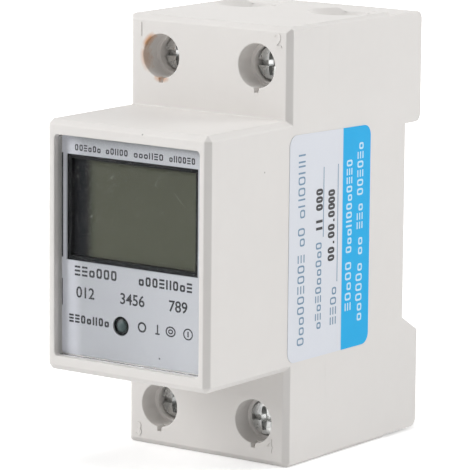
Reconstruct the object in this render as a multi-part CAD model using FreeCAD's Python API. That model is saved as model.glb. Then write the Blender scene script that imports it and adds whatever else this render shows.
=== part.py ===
import FreeCAD, Part
import os

# Single phase energy meter for a 35 mm mounting rail, two modules wide.
# Millimetres. Origin at the rail centre on the seat plane that touches the rail.
# +X is right seen from the front, +Z up, and the front faces -Y.

V = FreeCAD.Vector
os.makedirs("parts", exist_ok=True)

# How far a cut runs past a face, and how far a joined piece sinks into the one that carries it
past = 1.0
sink = 0.5

# Case outline
half_width = 18.0
head_above = 23.0
head_below = 22.3
upper_step = 16.6
lower_step = 17.7
terminal_y = -37.0
head_y = -61.0
seam_from_terminal = 12.0
edge_chamfer = 1.0
end_chamfer = 0.6
wall = 2.0
end_wall = 2.5
shelf_wall = 2.0
rear_wall = 2.0
rear_step = 0.6
rear_step_y = -5.5

# Rail slot and feet
foot_depth = 5.0
slot_above = 18.4
slot_below = 18.0
foot_round = 1.5
lower_foot_slope = 3.0
hook_half_width = 13.0
hook_gap = 1.4
hook_reach = 2.5
hook_lead = 0.8

# Rail latch in the lower foot
latch_half_width = 7.0
latch_wing = 3.0
latch_front_y = 1.6
latch_thick = 2.6
latch_gap = 0.3
latch_nose = 2.1
latch_nose_lead = 1.6
latch_foot_gap = 0.6
latch_travel = 4.5
retainer_thick = 1.3
tool_slot_width = 5.0
tool_slot_height = 1.6
tool_slot_rise = 1.4
peg_rise = 6.2
peg_height = 1.6
peg_half_width = 2.0
spring_window_half = 2.8
spring_window_drop = 3.0
spring_radius = 0.95
spring_wire = 0.6
spring_turns = 5

# Terminals
screw_from_side = 7.4
screw_from_top = 7.35
screw_from_bottom = 7.75
access_bore = 8.0
guide_bore = 6.6
access_depth = 4.0
tube_outer = 11.0
shoulder_depth = 9.2
head_gap = 0.2
shoulder_thick = 1.2
shoulder_bore = 5.6
notch_width = 1.5
notch_foot = 0.8
notch_depth = 0.85
notch_length = 2.0
barrier_half = 1.0

# Screws, one loose height for each terminal: upper left, upper right, lower left, lower right
screw_head = 6.1
screw_head_height = 2.6
screw_thread = 5.0
screw_tip_gap = 0.2
screw_slot_width = 1.1
screw_slot_depth = 1.5
screw_cross_width = 1.3
screw_cross_length = 4.6
screw_cross_depth = 1.9
screw_top_bevel = 0.4
screw_floats = (0.0, 0.6, 0.5, 1.8)

# Clamp cages on the screws
cage_half_width = 4.4
cage_half_height = 4.4
cage_nut_thick = 2.0
cage_side = 1.2
cage_floor = 1.4
cage_jaw = 7.6
cage_bar_gap = 0.2
cage_round = 1.0
cage_guide_gap = 0.3
cage_guide_half = 1.0
thread_gap = 0.08

# Conductor bars
bar_thick = 1.5
bar_half_width = 3.0
bar_front_y = -15.7
bar_end_gap = 1.0
bar_slot_gap = 0.1
shunt_half = 8.0
shunt_half_width = 2.6
lead_diameter = 1.1

# Wire entries in the two end walls
entry_mouth = 12.4
entry_lead = 2.0
entry_throat = 8.0

# Display window and what lies behind it
window_side = 2.0
window_frame = 2.7
window_recess = 0.9
window_thick = 1.0
window_ledge = 1.0
ledge_thick = 1.0
window_gap = 0.15
window_corner = 0.8
label_thick = 0.3
label_gap = 0.1
lcd_left_margin = 1.3
lcd_right_margin = 1.6
lcd_top_margin = 3.5
lcd_height = 19.1
lcd_overlap = 0.2
lcd_contact_edge = 0.8
lcd_border = 0.8
lcd_step = 1.0
lcd_thick = 2.8
holder_side_gap = 0.2
holder_margin = 1.8
holder_gap = 0.1
lamp_x = -2.4
lamp_rise = 6.7
lamp_hole = 1.75
lamp_radius = 1.2
lamp_sleeve = 0.45
lamp_gap = 0.05
lamp_base = 1.0

# Circuit boards
board_thick = 1.6
holder_depth = 6.2
display_board_side_gap = 0.5
display_board_end_gap = 1.2
display_post_inset = 2.1
display_post_rise = 3.7
board_clearance = 0.6
power_board_side_gap = 1.4
power_board_end_gap = 1.8
power_post_gap = 1.0
power_post_rise = 4.7
post_radius = 2.0
header_pins = 6
header_pitch = 2.54
header_pin = 0.64
header_hole = 1.1
header_rise = 9.5
header_tail = 1.0
header_body = 2.5
board_screw_radius = 1.1
board_screw_head = 1.9
board_screw_head_height = 1.3
board_screw_length = 6.0
board_slot_depth = 0.6
board_slot_width = 0.5
pilot_gap = 0.05
rib_depth = 1.2
rib_half = 6.0

# Parts on the boards
board_part_margin = 0.7
film_width = 17.5
film_depth = 12.5
film_height = 8.0
film_z = 9.4
can_radius = 4.0
can_length = 11.5
can_groove = 0.4
can_groove_low = 1.6
can_groove_high = 2.4
can_bevel = 0.4
can_z = 0.9
disc_radius = 5.0
disc_thick = 4.2
disc_bevel = 0.7
disc_stand = 0.8
disc_leg = 0.4
disc_leg_reach = 2.5
disc_z = -6.35
resistor_radius = 2.1
resistor_length = 11.0
resistor_bevel = 0.6
resistor_stand = 0.3
resistor_z = 0.9
resistor_leg = 0.35
bent_leg = 0.45
resistor_leg_reach = 0.9
chip_end_trim = 0.26
chip_thick = 1.75
chip_width = 3.9
chip_z = -6.35
chip_leg = 1.0
chip_leg_thick = 0.25
chip_leg_width = 0.4
chip_leg_pitch = 1.27
chip_legs = 8
controller_corner = 1.2
controller_thick = 1.4
controller_at = (-2.0, 6.0)
controller_leg_pitch = 0.8
controller_legs = 11
crystal_half_length = 5.4
crystal_half_height = 2.3
crystal_round = 2.2
crystal_thick = 3.5
crystal_at = (3.0, -6.5)

# Cover joint
tongue_depth = 2.0
tongue_thick = 0.9
tongue_gap = 0.1

# Side label
seal_lead = 1.0
seal_width = 27.0
seal_from_head_low = 1.5
seal_from_head_high = 2.5
seal_corner = 2.0
seal_thick = 0.1

# Values worked out from the sizes above
case_above = head_above + upper_step
case_below = head_below + lower_step
seam_y = terminal_y + seam_from_terminal
shoulder_y = terminal_y + shoulder_depth
terminal_x = half_width - screw_from_side
upper_z = case_above - screw_from_top
lower_z = screw_from_bottom - case_below
terminals = [(-terminal_x, upper_z), (terminal_x, upper_z), (-terminal_x, lower_z), (terminal_x, lower_z)]
room_low = -head_below + shelf_wall
room_high = head_above - shelf_wall

cage_nut_back = bar_front_y - cage_bar_gap
cage_rear_inner = bar_front_y + bar_thick + cage_jaw
wire_y = bar_front_y + bar_thick + cage_jaw / 2
bar_back = bar_front_y + bar_thick
bar_top = case_above - end_wall - bar_end_gap
bar_low = -case_below + end_wall + bar_end_gap
screw_seat_y = shoulder_y - head_gap
screw_shank = bar_front_y - screw_tip_gap - screw_seat_y

window_half = half_width - window_side
window_low = -head_below + window_frame
window_high = head_above - window_frame
window_back = head_y + window_recess + window_thick
label_front = window_back + label_gap
label_back = label_front + label_thick
ledge_back = label_back + ledge_thick
lcd_left = window_half - lcd_left_margin
lcd_right = window_half - lcd_right_margin
lcd_high = window_high - lcd_top_margin
lcd_low = lcd_high - lcd_height
lcd_front = label_back + lcd_step
lcd_foot = lcd_low - lcd_overlap - lcd_contact_edge
lamp_z = window_low + lamp_rise

display_board_y = ledge_back + holder_depth
display_board_half = half_width - wall - display_board_side_gap
display_post_x = half_width - wall - display_post_inset
display_post_z = room_low + display_post_rise
display_back_y = display_board_y + board_thick
power_board_y = display_back_y + controller_thick + board_clearance + film_depth
power_back_y = power_board_y + board_thick
power_board_half_width = half_width - wall - power_board_side_gap
power_post_x = terminal_x - bar_half_width - power_post_gap - post_radius
power_post_levels = (room_low + power_post_rise, room_high - power_post_rise)
header_z = room_low + header_rise
board_part_edge = power_board_half_width - board_part_margin
chip_length = chip_legs * chip_leg_pitch - chip_end_trim
controller_side = controller_legs * controller_leg_pitch + controller_corner

latch_low = -case_below + rear_step + latch_foot_gap
latch_top = -slot_below + latch_nose
peg_top = -case_below + rear_step + peg_rise + peg_height
peg_foot = peg_top - peg_height
spring_top = -slot_below - spring_window_drop
seal_front_y = terminal_y - seal_lead


def box(x0, x1, y0, y1, z0, z1):
    return Part.makeBox(x1 - x0, y1 - y0, z1 - z0, V(x0, y0, z0))


def rod(x, z, y0, y1, radius):
    """Round bar along Y."""
    return Part.makeCylinder(radius, y1 - y0, V(x, y0, z), V(0, 1, 0))


def post(x, y, z0, z1, radius):
    """Round bar along Z."""
    return Part.makeCylinder(radius, z1 - z0, V(x, y, z0), V(0, 0, 1))


def cut(shape, *tools):
    for tool in tools:
        shape = shape.cut(tool)
    return shape


def join(shape, *others):
    for other in others:
        shape = shape.fuse(other)
    return shape.removeSplitter()


def extrude_x(points, x0, x1):
    """Solid from an outline of (y, z) points, along X."""
    wire = Part.makePolygon([V(x0, y, z) for y, z in points + points[:1]])
    return Part.Face(wire).extrude(V(x1 - x0, 0, 0))


def edges_where(shape, test):
    """Straight edges whose middle point and direction pass a test."""
    found = []
    for edge in shape.Edges:
        if isinstance(edge.Curve, (Part.Line, Part.LineSegment)):
            middle = edge.valueAt((edge.FirstParameter + edge.LastParameter) / 2)
            way = edge.tangentAt(edge.FirstParameter)
            if test(middle, way):
                found.append(edge)
    return found


def near(a, b, gap=0.01):
    return abs(a - b) < gap


def outer_block():
    """The whole case as one solid: terminal steps, head, rail slot and feet."""
    foot_y = foot_depth
    rear_top = case_above - rear_step
    rear_low = -case_below + rear_step
    side = [(terminal_y, -case_below), (terminal_y, -head_below), (head_y, -head_below),
            (head_y, head_above), (terminal_y, head_above), (terminal_y, case_above),
            (rear_step_y, case_above), (rear_step_y, rear_top), (foot_y, rear_top),
            (foot_y, slot_above), (0, slot_above), (0, -slot_below),
            (foot_y, -slot_below - lower_foot_slope), (foot_y, rear_low),
            (rear_step_y, rear_low), (rear_step_y, -case_below)]
    block = extrude_x(side, -half_width, half_width)

    def foot_corner(p, d):
        rear = near(p.y, foot_y)
        corner = near(p.z, rear_top) or near(p.z, rear_low) or near(p.z, slot_above)
        return near(abs(d.x), 1) and rear and corner

    block = block.makeFillet(foot_round, edges_where(block, foot_corner))

    def front_side(p, d):
        return near(abs(p.x), half_width) and near(abs(d.z), 1) and p.y < seam_y

    def front_cross(p, d):
        front = near(p.y, head_y) or near(p.y, terminal_y)
        outward = (near(p.z, head_above) or near(p.z, -head_below)) and near(p.y, head_y)
        ends = (near(p.z, case_above) or near(p.z, -case_below)) and near(p.y, terminal_y)
        return near(abs(d.x), 1) and front and (outward or ends)

    def head_top_sides(p, d):
        along = near(abs(d.y), 1) and near(abs(p.x), half_width)
        return along and (near(p.z, head_above) or near(p.z, -head_below))

    picked = edges_where(block, lambda p, d: front_side(p, d) or front_cross(p, d) or head_top_sides(p, d))
    block = block.makeChamfer(edge_chamfer, picked)

    def end_sides(p, d):
        along = near(abs(d.y), 1) and near(abs(p.x), half_width)
        return along and (near(p.z, case_above) or near(p.z, -case_below))

    return block.makeChamfer(end_chamfer, edges_where(block, end_sides))


def hollow(y0, y1, z0, z1, inset=wall):
    return box(-half_width + inset, half_width - inset, y0, y1, z0, z1)


def case_halves():
    """Front and rear halves of the hollow case, before bores and inner ribs."""
    block = outer_block()
    head_room = hollow(head_y + wall, -rear_wall, room_low, room_high)
    upper_room = hollow(terminal_y + wall, -rear_wall, head_above, case_above - end_wall)
    lower_room = hollow(terminal_y + wall, -rear_wall, -case_below + end_wall, -head_below)
    block = cut(block, head_room, upper_room, lower_room)
    far = 100
    front = block.common(box(-far, far, -far, seam_y, -far, far))
    rear = block.common(box(-far, far, seam_y, far, -far, far))
    return front, rear


def side_tongues():
    """Two strips inside the side walls that stand across the seam and line up the halves."""
    low = room_low + tongue_gap
    high = room_high - tongue_gap
    strips = []
    for side in (-1, 1):
        outer = side * (half_width - wall)
        shifted = side * (half_width - wall - tongue_gap)
        inner = side * (half_width - wall - tongue_gap - tongue_thick)
        strips.append(box(min(outer, inner), max(outer, inner), seam_y - tongue_depth, seam_y, low, high))
        strips.append(box(min(shifted, inner), max(shifted, inner), seam_y - tongue_depth,
                          seam_y + tongue_depth, low, high))
    return strips


def access_tube(x, z):
    return rod(x, z, terminal_y + wall / 2, shoulder_y + shoulder_thick, tube_outer / 2)


def access_hole(x, z):
    """Stepped bore down to the screw, with the small notch at its lower side."""
    step_y = terminal_y + access_depth
    mouth = rod(x, z, terminal_y - past, step_y, access_bore / 2)
    guide = rod(x, z, step_y, shoulder_y, guide_bore / 2)
    thread = rod(x, z, shoulder_y, shoulder_y + shoulder_thick + past, shoulder_bore / 2)
    low = z - access_bore / 2 - notch_depth
    corners = [(x - notch_foot / 2, low), (x + notch_foot / 2, low),
               (x + notch_width / 2, z), (x - notch_width / 2, z)]
    outline = Part.makePolygon([V(a, terminal_y - past, b) for a, b in corners + corners[:1]])
    notch = Part.Face(outline).extrude(V(0, past + notch_length, 0))
    return mouth.fuse([guide, thread, notch])


def barriers(y0, y1):
    """Walls between the left and right terminal in each terminal chamber."""
    rooms = ((-case_below + end_wall, -head_below), (head_above, case_above - end_wall))
    return [box(-barrier_half, barrier_half, y0, y1, low, high) for low, high in rooms]


def display_posts(y0, y1, radius):
    return [rod(x, display_post_z, y0, y1, radius) for x in (-display_post_x, display_post_x)]


def power_posts(y0, y1, radius):
    return [rod(x, z, y0, y1, radius) for x in (-power_post_x, power_post_x)
            for z in power_post_levels]


def make_front_cover(front):
    """Head and terminal fronts, with the screw tubes, window seat, barriers and board posts."""
    pocket = box(-window_half, window_half, head_y - past, label_back, window_low, window_high)
    pocket = pocket.makeFillet(window_corner, edges_where(pocket, lambda p, d: near(abs(d.y), 1)))
    opening = box(-window_half + window_ledge, window_half - window_ledge, head_y, ledge_back + past,
                  window_low + window_ledge, window_high - window_ledge)
    inside = half_width - wall / 2
    ledge = box(-inside, inside, head_y + wall / 2, ledge_back, room_low - past, room_high + past)
    tubes = [access_tube(x, z) for x, z in terminals]
    top_rib = box(-rib_half, rib_half, ledge_back - sink, display_board_y,
                  room_high - rib_depth, room_high + past)
    cover = front.fuse([ledge, top_rib] + tubes + barriers(terminal_y + wall / 2, seam_y)
                       + display_posts(ledge_back - sink, display_board_y, post_radius) + side_tongues())
    pilot_y = display_board_y + board_thick - board_screw_length
    pilots = display_posts(pilot_y, display_board_y + past, board_screw_radius + pilot_gap)
    holes = [access_hole(x, z) for x, z in terminals]
    return cut(cover, pocket, opening, *(holes + pilots)).removeSplitter()


def bar_slots():
    """Slots in the two shelves that the conductor bars pass through and rest in."""
    half = bar_half_width + bar_slot_gap
    front = bar_front_y - bar_slot_gap
    back = bar_back + bar_slot_gap
    return [box(x - half, x + half, front, back, low - past, low + shelf_wall + past)
            for x in (-terminal_x, terminal_x) for low in (-head_below, room_high)]


def entry_funnel(x, side):
    """Tapered wire entry through an end wall."""
    outer = case_above if side > 0 else -case_below
    foot = outer - side * entry_lead
    cone = Part.makeCone(entry_throat / 2, entry_mouth / 2, entry_lead, V(x, wire_y, foot), V(0, 0, side))
    inner = outer - side * (end_wall + past)
    through = post(x, wire_y, min(foot, inner), max(foot, inner), entry_throat / 2)
    return cone.fuse(through)


def rail_hook():
    """Fixed lip under the upper foot that holds the rail's upper edge."""
    low = slot_above - hook_reach
    root = slot_above + foot_round + past
    lip = [(hook_gap, low), (foot_depth - hook_lead, low), (foot_depth, low + hook_lead),
           (foot_depth, slot_above + foot_round), (foot_depth - past, root), (hook_gap, root)]
    return extrude_x(lip, -hook_half_width, hook_half_width)


def latch_channel():
    """T shaped slot down the lower foot, with lips that keep the latch in."""
    low = -case_below - 1
    high = -slot_below + 1
    floor = latch_front_y - latch_gap
    narrow = latch_half_width + latch_gap
    wide = narrow + latch_wing
    lips_y = foot_depth - retainer_thick
    return box(-wide, wide, floor, lips_y, low, high).fuse(
        box(-narrow, narrow, floor, foot_depth + past, low, high))


def make_base_shell(rear):
    """Rear half: rail seat and feet, barriers, clamp guides, board posts and the latch channel."""
    guides = []
    for x, z in terminals:
        side = 1 if x > 0 else -1
        inner = side * (abs(x) - cage_half_width - cage_guide_gap)
        outer = side * (abs(x) + cage_half_width + cage_guide_gap)
        guides.append(box(min(0, inner), max(0, inner), seam_y, -rear_wall,
                          z - cage_guide_half, z + cage_guide_half))
        wall_x = side * (half_width - wall / 2)
        guides.append(box(min(outer, wall_x), max(outer, wall_x), seam_y, -rear_wall,
                          z - cage_guide_half, z + cage_guide_half))
    posts = power_posts(power_back_y, -rear_wall, post_radius)
    shell = rear.fuse(barriers(seam_y, -rear_wall) + guides + posts + [rail_hook()])
    funnels = [entry_funnel(x, side) for x in (-terminal_x, terminal_x) for side in (-1, 1)]
    pilots = power_posts(power_board_y, power_board_y + board_screw_length, board_screw_radius + pilot_gap)
    shell = cut(shell, latch_channel(), *(bar_slots() + funnels + pilots))
    peg = box(-peg_half_width, peg_half_width, 0, latch_front_y + latch_thick,
              peg_foot, peg_top)
    return shell.fuse(peg).removeSplitter()


def make_window():
    pane = box(-window_half + window_gap, window_half - window_gap, head_y + window_recess, window_back,
               window_low + window_gap, window_high - window_gap)
    return pane.makeFillet(window_corner - window_gap, edges_where(pane, lambda p, d: near(abs(d.y), 1)))


def make_label_plate():
    """Thin printed plate behind the window, cut out for the display and the pulse lamp."""
    gap = 2 * window_gap
    plate = box(-window_half + gap, window_half - gap, label_front, label_back,
                window_low + gap, window_high - gap)
    plate = plate.makeFillet(window_corner - gap, edges_where(plate, lambda p, d: near(abs(d.y), 1)))
    view = box(-lcd_left, lcd_right, head_y, 0, lcd_low, lcd_high)
    return cut(plate, view, rod(lamp_x, lamp_z, head_y, 0, lamp_hole))


def make_display_glass():
    """Liquid crystal cell: two bonded panes, the rear one longer for its contacts."""
    pane = lcd_thick / 2
    top = lcd_high + lcd_overlap
    front = box(-lcd_left, lcd_right, lcd_front, lcd_front + pane, lcd_low - lcd_overlap, top)
    rear = box(-lcd_left, lcd_right, lcd_front + pane, lcd_front + lcd_thick, lcd_foot, top)
    return front.fuse(rear).removeSplitter()


def make_display_holder():
    """Black frame between board and label that carries the display glass."""
    low = lcd_low - holder_margin
    high = lcd_high + holder_margin
    half = half_width - wall - holder_side_gap
    frame = box(-half, half, ledge_back, display_board_y, low, high)
    front_half = window_half - window_ledge - holder_gap
    front = box(-front_half, front_half, label_back + holder_gap, ledge_back, low, high)
    frame = frame.fuse(front)
    view = box(-lcd_left + lcd_border, lcd_right - lcd_border, head_y, 0,
               lcd_low + lcd_border, lcd_high - lcd_border)
    seat = box(-lcd_left - holder_gap, lcd_right + holder_gap, lcd_front, 0,
               lcd_foot - holder_gap, lcd_high + lcd_overlap + holder_gap)
    return cut(frame, view, seat).removeSplitter()


def make_pulse_lamp():
    """Small lamp with a domed lens on a wider foot that stands on the display board."""
    top = label_front + lamp_radius
    body = rod(lamp_x, lamp_z, top, display_board_y, lamp_radius)
    dome = Part.makeSphere(lamp_radius, V(lamp_x, top, lamp_z))
    foot = rod(lamp_x, lamp_z, display_board_y - lamp_base, display_board_y, lamp_radius + lamp_sleeve / 2)
    return join(body, dome, foot)


def make_lamp_sleeve():
    """Black tube round the lamp that keeps its light off the display."""
    outer = lamp_radius + lamp_gap + lamp_sleeve
    tube = rod(lamp_x, lamp_z, label_back + label_gap, display_board_y - lamp_base, outer)
    return tube.cut(rod(lamp_x, lamp_z, head_y, 0, lamp_radius + lamp_gap))


def header_places():
    first = -(header_pins - 1) * header_pitch / 2
    return [first + header_pitch * i for i in range(header_pins)]


def header_holes():
    half = header_hole / 2
    return [box(x - half, x + half, display_board_y - past, power_back_y + past,
                header_z - half, header_z + half) for x in header_places()]


def make_display_board():
    board = box(-display_board_half, display_board_half, display_board_y, display_back_y,
                room_low + display_board_end_gap, room_high - display_board_end_gap / 2)
    holes = display_posts(display_board_y - past, display_back_y + past, board_screw_radius + pilot_gap)
    return cut(board, *(holes + header_holes()))


def make_power_board():
    board = box(-power_board_half_width, power_board_half_width, power_board_y, power_back_y,
                room_low + power_board_end_gap, room_high - power_board_end_gap)
    holes = power_posts(power_board_y - past, power_back_y + past, board_screw_radius + pilot_gap)
    return cut(board, *(holes + header_holes()))


def make_header():
    """Row of square pins in a plastic strip that joins the two boards."""
    half = header_pin / 2
    strip_half = header_pins * header_pitch / 2
    strip = box(-strip_half, strip_half, power_board_y - header_body, power_board_y,
                header_z - header_pitch / 2, header_z + header_pitch / 2)
    pins = [box(x - half, x + half, display_board_y - header_tail, power_back_y + header_tail,
                header_z - half, header_z + half) for x in header_places()]
    return join(strip, *pins)


def board_screw(x, z, face_y, way):
    """Small pan head screw; way is +1 when its head faces +Y."""
    head = Part.makeCylinder(board_screw_head, board_screw_head_height, V(x, face_y, z), V(0, way, 0))
    shank = Part.makeCylinder(board_screw_radius, board_screw_length, V(x, face_y, z), V(0, -way, 0))
    top = face_y + way * board_screw_head_height
    slot = box(x - board_screw_head, x + board_screw_head, top - board_slot_depth, top + board_slot_depth,
               z - board_slot_width / 2, z + board_slot_width / 2)
    return cut(head.fuse(shank).removeSplitter(), slot)


def make_board_screws():
    screws = [board_screw(x, display_post_z, display_back_y, 1) for x in (-display_post_x, display_post_x)]
    screws += [board_screw(x, z, power_board_y, -1) for x in (-power_post_x, power_post_x)
               for z in power_post_levels]
    return Part.makeCompound(screws)


def bar(x, low, high, half):
    return box(x - half, x + half, bar_front_y, bar_back, low, high)


def make_sense_leads():
    """Two leads that tap the shunt's voltage and run to the power board."""
    tap_z = shunt_half - bar_half_width
    return Part.makeCompound([rod(terminal_x, z, power_back_y, bar_front_y, lead_diameter / 2)
                              for z in (-tap_z, tap_z)])


def make_neutral_lead():
    return rod(-terminal_x, 0, power_back_y, bar_front_y, lead_diameter / 2)


def bevel_rims(shape, size):
    """Bevel the circular edges at both ends of a turned body."""
    return shape.makeChamfer(size, [e for e in shape.Edges if isinstance(e.Curve, Part.Circle)])


def make_film_capacitor():
    """Box shaped capacitor standing at the left edge of the power board."""
    left = -board_part_edge
    return box(left, left + film_width, power_board_y - film_depth, power_board_y,
               film_z - film_height / 2, film_z + film_height / 2)


def make_smoothing_capacitor():
    """Electrolytic can with its rolled groove, standing at the right edge of the power board."""
    x = board_part_edge - can_radius
    can = bevel_rims(rod(x, can_z, power_board_y - can_length, power_board_y, can_radius), can_bevel)
    groove_from = power_board_y - can_groove_high
    groove_to = power_board_y - can_groove_low
    ring = rod(x, can_z, groove_from, groove_to, can_radius + past)
    return can.cut(ring.cut(rod(x, can_z, groove_from, groove_to, can_radius - can_groove)))


def make_varistor():
    """Disc standing on edge on two short legs."""
    x = disc_radius - board_part_edge
    centre_y = power_board_y - disc_radius - disc_stand
    half = disc_thick / 2
    disc = bevel_rims(post(x, centre_y, disc_z - half, disc_z + half, disc_radius), disc_bevel)
    legs = [rod(x + side * disc_leg_reach, disc_z, centre_y, power_board_y, disc_leg) for side in (-1, 1)]
    return join(disc, *legs)


def make_fuse_resistor():
    """Axial resistor lying along the board with bent legs."""
    y = power_board_y - resistor_radius - resistor_stand
    half = resistor_length / 2
    x = half + resistor_leg_reach + bent_leg - board_part_edge
    body = Part.makeCylinder(resistor_radius, resistor_length, V(x - half, y, resistor_z), V(1, 0, 0))
    legs = []
    for side in (-1, 1):
        legs.append(Part.makeCylinder(resistor_leg, resistor_leg_reach + resistor_leg,
                                      V(x + side * (half - resistor_leg), y, resistor_z), V(side, 0, 0)))
        out = x + side * (half + resistor_leg_reach)
        legs.append(rod(out, resistor_z, y - bent_leg, power_board_y, bent_leg))
    return join(bevel_rims(body, resistor_bevel), *legs)


def make_meter_chip():
    """Measuring chip with two rows of legs, at the right edge of the power board."""
    x = board_part_edge - chip_length / 2
    body = box(x - chip_length / 2, x + chip_length / 2, power_board_y - chip_thick, power_board_y,
               chip_z - chip_width / 2, chip_z + chip_width / 2)
    first = x - (chip_legs - 1) * chip_leg_pitch / 2
    reach = chip_width / 2 + chip_leg
    rows = []
    for i in range(chip_legs):
        mid = first + chip_leg_pitch * i
        rows.append(box(mid - chip_leg_width / 2, mid + chip_leg_width / 2, power_board_y - chip_leg_thick,
                        power_board_y, chip_z - reach, chip_z + reach))
    return join(body, *rows)


def make_controller():
    """Square controller with legs on all four sides, on the back of the display board."""
    x, z = controller_at
    face = display_back_y
    half = controller_side / 2
    body = box(x - half, x + half, face, face + controller_thick, z - half, z + half)
    reach = half + chip_leg
    slim = chip_leg_width / 2
    legs = []
    for i in range(controller_legs):
        step = (i - (controller_legs - 1) / 2) * controller_leg_pitch
        legs.append(box(x + step - slim, x + step + slim, face, face + chip_leg_thick, z - reach, z + reach))
        legs.append(box(x - reach, x + reach, face, face + chip_leg_thick, z + step - slim, z + step + slim))
    return join(body, *legs)


def make_crystal():
    """Oval metal can lying on the back of the display board."""
    x, z = crystal_at
    face = display_back_y
    can = box(x - crystal_half_length, x + crystal_half_length, face, face + crystal_thick,
              z - crystal_half_height, z + crystal_half_height)
    return can.makeFillet(crystal_round, edges_where(can, lambda p, d: near(abs(d.y), 1)))


def make_terminal_screw(x, z, lift):
    """Clamp screw: round head with a slot and a cross, and its threaded shank."""
    under = screw_seat_y - lift
    top = under - screw_head_height
    head = rod(x, z, top, under, screw_head / 2)
    rim = [e for e in head.Edges if near(e.BoundBox.YMin, top, 0.05) and near(e.BoundBox.YMax, top, 0.05)]
    head = head.makeChamfer(screw_top_bevel, rim)
    shank = rod(x, z, under, under + screw_shank, screw_thread / 2)
    half = screw_slot_width / 2
    slot = box(x - screw_head, x + screw_head, top - past, top + screw_slot_depth, z - half, z + half)
    wide = screw_cross_width / 2
    arm = screw_cross_length / 2
    cross = box(x - wide, x + wide, top - past, top + screw_cross_depth, z - arm, z + arm).fuse(
        box(x - arm, x + arm, top - past, top + screw_cross_depth, z - wide, z + wide))
    screw = cut(head.fuse(shank).removeSplitter(), slot, cross)
    return screw


def make_clamp_cage(x, z, lift):
    """Box clamp: nut wall on the screw, two sides and the floor that lifts the wire."""
    nut_back = cage_nut_back - lift
    rear_inner = cage_rear_inner - lift
    outer = box(x - cage_half_width, x + cage_half_width, nut_back - cage_nut_thick, rear_inner + cage_floor,
                z - cage_half_height, z + cage_half_height)
    outer = outer.makeFillet(cage_round, edges_where(outer, lambda p, d: near(abs(d.z), 1)))
    inside = cage_half_width - cage_side
    reach = cage_half_height + past
    jaw = box(x - inside, x + inside, nut_back, rear_inner, z - reach, z + reach)
    hole = rod(x, z, nut_back - cage_nut_thick - past, nut_back + past, screw_thread / 2 + thread_gap)
    return cut(outer, jaw, hole)


def make_rail_latch():
    """Sliding latch: plate with side wings, nose, spring window and a slot for a tool."""
    back = latch_front_y + latch_thick
    wing_back = foot_depth - retainer_thick - latch_gap
    side = [(latch_front_y, latch_low), (latch_front_y, latch_top), (back - latch_nose_lead, latch_top),
            (back, latch_top - latch_nose_lead), (back, latch_low)]
    plate = extrude_x(side, -latch_half_width, latch_half_width)
    reach = latch_half_width + latch_wing
    wing_top = latch_top - latch_nose - latch_nose
    wings = box(-reach, reach, latch_front_y, wing_back, latch_low + latch_travel, wing_top)
    window = box(-spring_window_half, spring_window_half, 0, foot_depth, peg_foot - latch_gap, spring_top)
    tool = box(-tool_slot_width / 2, tool_slot_width / 2, 0, foot_depth, latch_low + tool_slot_rise,
               latch_low + tool_slot_rise + tool_slot_height)
    return cut(plate.fuse(wings), window, tool).removeSplitter()


def make_latch_spring():
    """Compression spring between the fixed peg and the top of the latch's window."""
    low = peg_top + spring_wire / 2
    height = spring_top - spring_wire / 2 - low
    helix = Part.makeHelix(height / spring_turns, height, spring_radius)
    half = spring_wire / 2
    corners = [V(spring_radius - half, 0, -half), V(spring_radius + half, 0, -half),
               V(spring_radius + half, 0, half), V(spring_radius - half, 0, half)]
    section = Part.makePolygon(corners + corners[:1])
    coil = Part.Wire(helix.Edges).makePipeShell([section], True, True)
    coil.translate(V(0, latch_front_y + latch_thick / 2, low))
    return coil


def make_seal_label():
    """Paper label across the case seam on the right side."""
    label = box(half_width, half_width + seal_thick, seal_front_y, seal_front_y + seal_width,
                -head_below + seal_from_head_low, head_above - seal_from_head_high)
    return label.makeFillet(seal_corner, edges_where(label, lambda p, d: near(abs(d.x), 1)))


def main():
    front, rear = case_halves()
    shapes = {
        "front_cover": make_front_cover(front),
        "base_shell": make_base_shell(rear),
        "display_window": make_window(),
        "label_plate": make_label_plate(),
        "display_glass": make_display_glass(),
        "display_holder": make_display_holder(),
        "pulse_lamp": make_pulse_lamp(),
        "lamp_sleeve": make_lamp_sleeve(),
        "display_board": make_display_board(),
        "power_board": make_power_board(),
        "board_header": make_header(),
        "board_screws": make_board_screws(),
        "film_capacitor": make_film_capacitor(),
        "smoothing_capacitor": make_smoothing_capacitor(),
        "surge_varistor": make_varistor(),
        "fuse_resistor": make_fuse_resistor(),
        "meter_chip": make_meter_chip(),
        "controller_chip": make_controller(),
        "clock_crystal": make_crystal(),
        "line_bar_upper": bar(terminal_x, shunt_half, bar_top, bar_half_width),
        "line_bar_lower": bar(terminal_x, bar_low, -shunt_half, bar_half_width),
        "current_shunt": bar(terminal_x, -shunt_half, shunt_half, shunt_half_width),
        "neutral_bar": bar(-terminal_x, bar_low, bar_top, bar_half_width),
        "sense_leads": make_sense_leads(),
        "neutral_lead": make_neutral_lead(),
        "rail_latch": make_rail_latch(),
        "latch_spring": make_latch_spring(),
        "seal_label": make_seal_label(),
    }
    for number, ((x, z), lift) in enumerate(zip(terminals, screw_floats), 1):
        shapes["terminal_screw_" + str(number)] = make_terminal_screw(x, z, lift)
        shapes["clamp_cage_" + str(number)] = make_clamp_cage(x, z, lift)
    for name, shape in shapes.items():
        print(name, shape.isValid(), len(shape.Solids), round(shape.Volume, 1))
        shape.exportStep("parts/" + name + ".step")


main()
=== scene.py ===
"""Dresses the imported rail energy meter: case, terminals, display, side label, inner parts and stage."""

import math

import bmesh
import bpy
import numpy as np
from bpy.props import FloatProperty, FloatVectorProperty, PointerProperty
from mathutils import Matrix, Vector


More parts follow.
